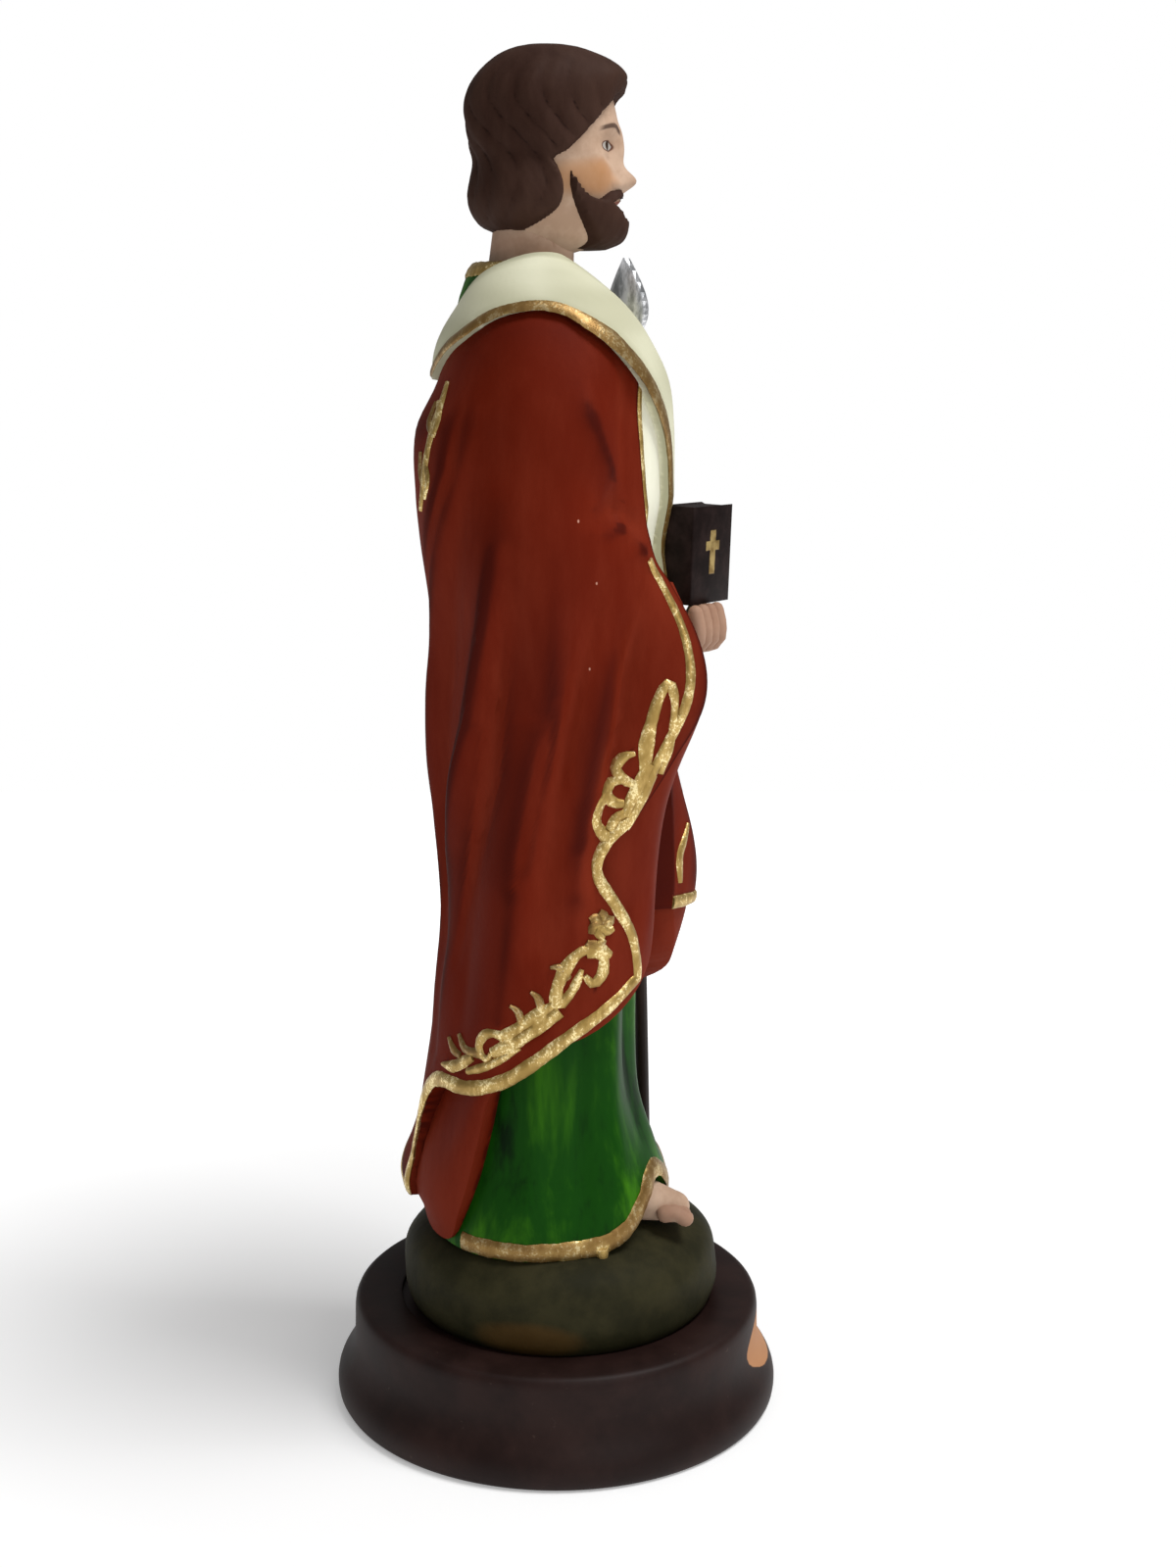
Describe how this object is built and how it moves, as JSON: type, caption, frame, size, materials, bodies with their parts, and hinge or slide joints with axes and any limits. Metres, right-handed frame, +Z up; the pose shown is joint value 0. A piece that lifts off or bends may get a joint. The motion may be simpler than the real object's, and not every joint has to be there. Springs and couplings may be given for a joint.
{
  "type": "saint statue",
  "caption": "Standing bearded saint in a long tunic and draped mantle, holding a book and a halberd, on a round moulded plinth.",
  "frame": {"origin": "centre of the plinth's underside", "axes": "+Z up, the figure's front faces -Y and its right side faces -X"},
  "size_m": [0.1024, 0.1024, 0.3],
  "materials": {
    "painted_resin": "matt hand-painted resin in red, green, cream, brown and flesh tones with gold trims",
    "plinth_paint": "satin near-black brown paint",
    "halberd_paint": "dark brown staff with a brushed silver head"
  },
  "bodies": {
    "root": {"figure": "painted_resin", "plinth": "plinth_paint", "halberd": "halberd_paint"}
  },
  "joints": []
}
